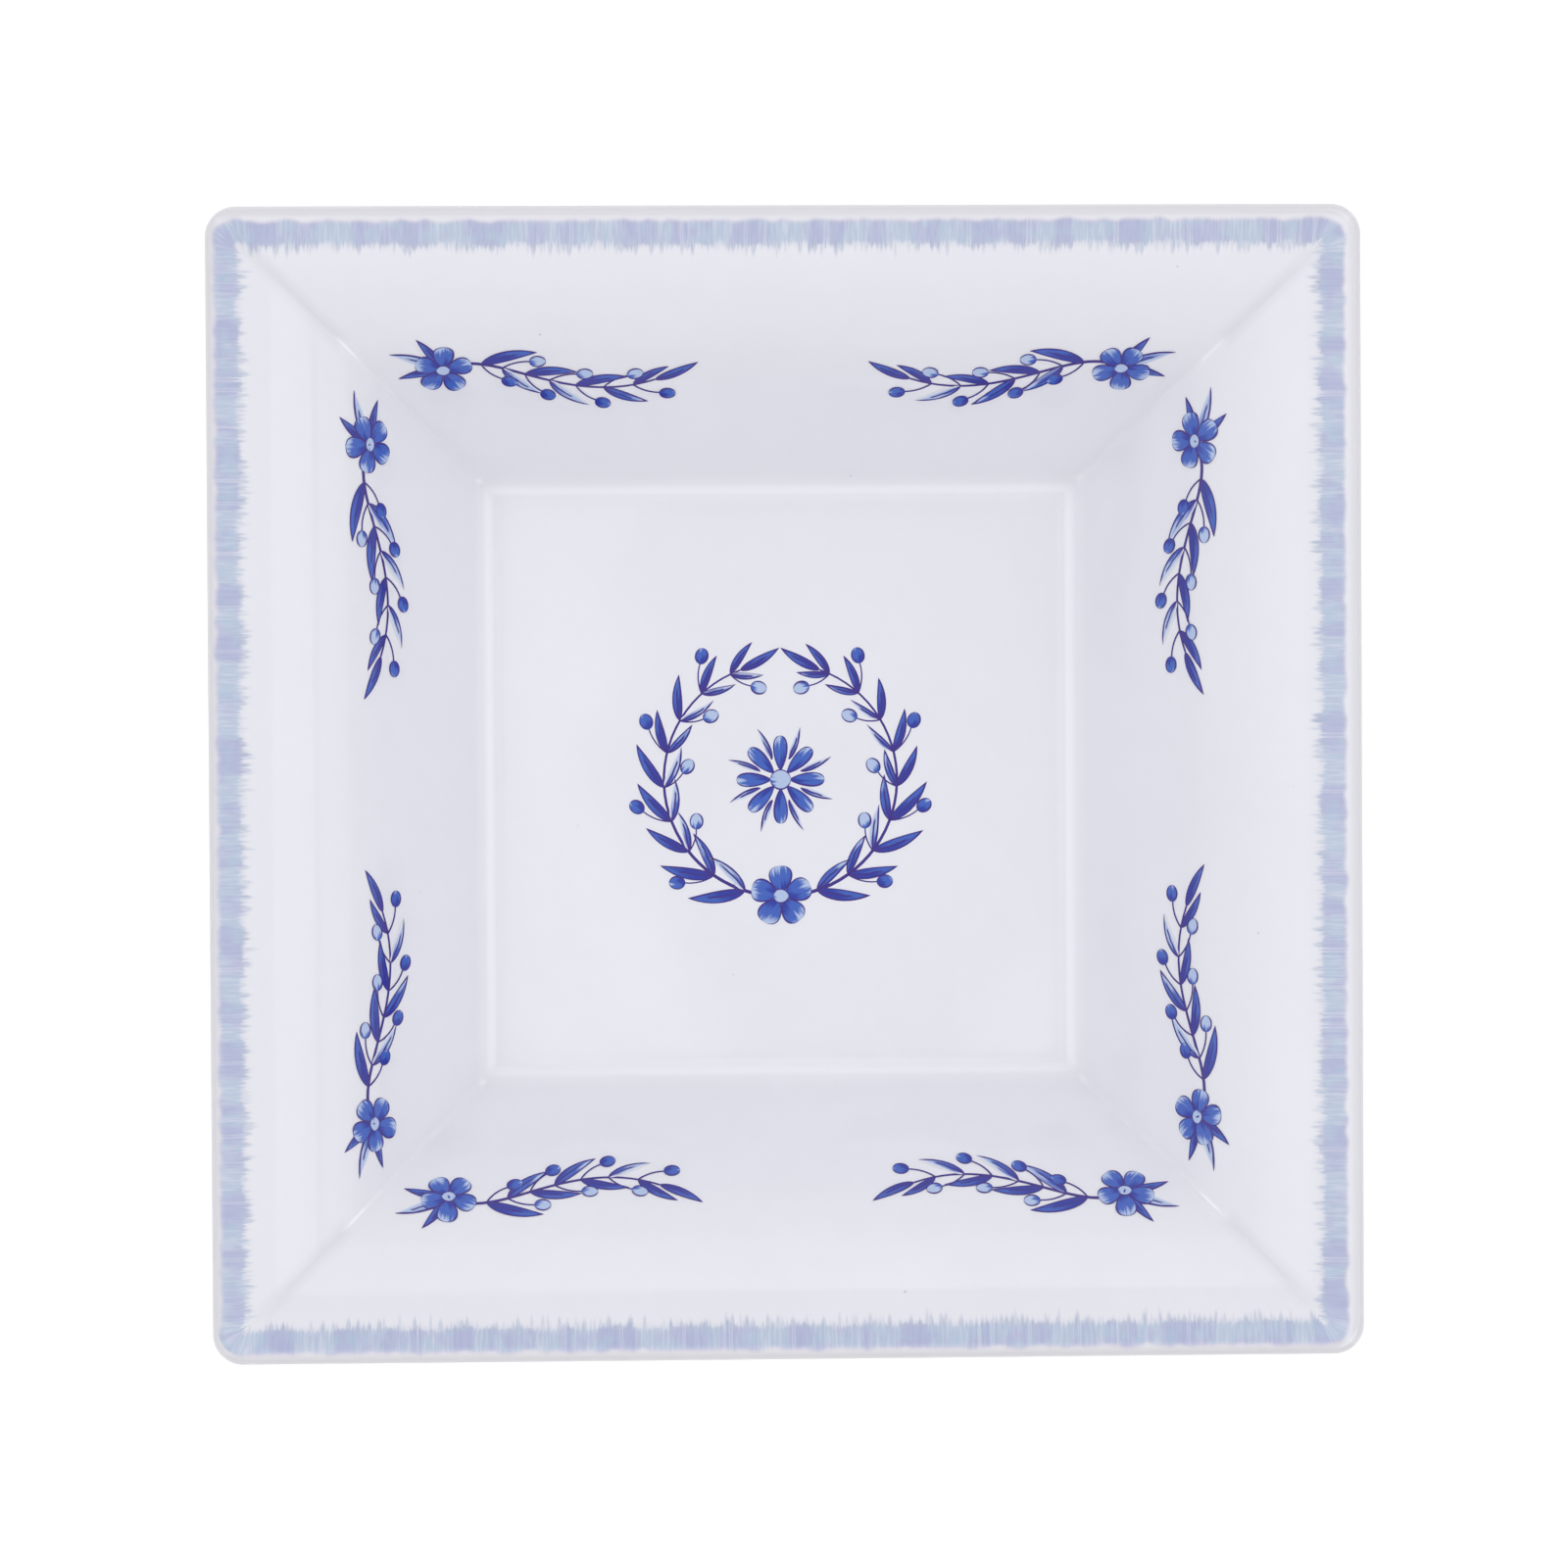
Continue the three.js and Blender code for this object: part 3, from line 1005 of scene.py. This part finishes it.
DIAGONALS = (45, 135, 225, 315)
PANELS = (
    Panel(0, 360, -2, 9, 0.7),
    Panel(0, 360, 9, 21, 0.4),
    Panel(-8, 110, 1.0, 5.5, -0.9),
    Panel(0, 36, 34, 53.5, 0.75),
    Panel(0, 36, 57, 72, 0.5),
    Panel(90, 60, 9, 20, 0.25),
    Panel(90, 36, 21, 33, -0.65),
    Panel(90, 36, 33, 57, 0.25),
    Panel(180, 36, 24, 47, 0.7),
    Panel(180, 36, 47, 80, 0.3),
    Panel(270, 60, 9, 21, 0.3),
    Panel(270, 36, 21, 41, 0.4),
    Panel(270, 36, 41, 71.5, 0.2),
    *(Panel(bearing, 50, 18, 46, -0.35) for bearing in DIAGONALS),
    *(Panel(bearing, 40, 48, 57, 3.0) for bearing in DIAGONALS),
)
TENT_RADIANCE = 0.755
TENT_LEAN = (0.01, 0.1)  # how much brighter it is towards +X and +Y
PANEL_SOFTNESS = 0.3  # of its edges, in degrees
SIDE_SOFTNESS = 0.03  # of its two sides, as a share of the bearing's cosine


def panel_share(tilt, bearing, panel):
    """How much of a panel is seen in a direction of the sky, from 0 to 1."""
    inside = (tilt - panel.low).ramp(-PANEL_SOFTNESS, PANEL_SOFTNESS)
    inside = inside * (tilt - panel.high).ramp(PANEL_SOFTNESS, -PANEL_SOFTNESS)
    if panel.spread == 360:
        return inside
    east, north = bearing
    angle = math.radians(panel.bearing)
    edge = math.cos(math.radians(panel.spread / 2))
    ahead = math.cos(angle) * east + math.sin(angle) * north
    return inside * ahead.ramp(edge - SIDE_SOFTNESS, edge + SIDE_SOFTNESS)


def make_world():
    """A white light tent round the dish, a little brighter at the back, with panels in it."""
    world = bpy.data.worlds.new("light_tent")
    world.use_nodes = True
    nodes = Nodes(world.node_tree)
    east, north, up = nodes.parts(nodes.add("ShaderNodeTexCoord", output="Generated"))
    tilt = up.math("ARCCOSINE", up) * math.degrees(1)
    level = ((east * east + north * north) ** 0.5).most(0.0001)
    bearing = (east / level, north / level)
    lean_right, lean_back = TENT_LEAN
    strength = TENT_RADIANCE + lean_right * east + lean_back * north
    for panel in PANELS:
        strength = strength + panel.radiance * panel_share(tilt, bearing, panel)
    light = nodes.add("ShaderNodeBackground", None, {"Color": srgb(255, 255, 255), "Strength": strength})
    nodes.add("ShaderNodeOutputWorld", None, {"Surface": light})
    bpy.context.scene.world = world


# The camera looks nearly straight down, from a little left of and behind the middle.
CAMERA_PLACE = Vector((-59.6, 30.7, 1448.9)) * MM
CAMERA_AIM = Vector((-0.85, -0.15, 48.9)) * MM
CAMERA_ROLL = 0.0055
CAMERA_FIELD = 353.0 * MM  # width of the view at the rim


def make_camera():
    data = bpy.data.cameras.new("camera")
    ahead = CAMERA_AIM - CAMERA_PLACE
    data.lens = data.sensor_width * ahead.length / CAMERA_FIELD
    camera = bpy.data.objects.new("camera", data)
    right = ahead.cross(Vector((math.sin(CAMERA_ROLL), math.cos(CAMERA_ROLL), 0))).normalized()
    up = right.cross(ahead).normalized()
    turn = Matrix((right, up, -ahead.normalized())).transposed()
    camera.location = CAMERA_PLACE
    camera.rotation_euler = turn.to_euler()
    bpy.context.scene.collection.objects.link(camera)
    bpy.context.scene.camera = camera


make_floor()
make_world()
make_camera()
bpy.context.scene.view_settings.view_transform = "Standard"
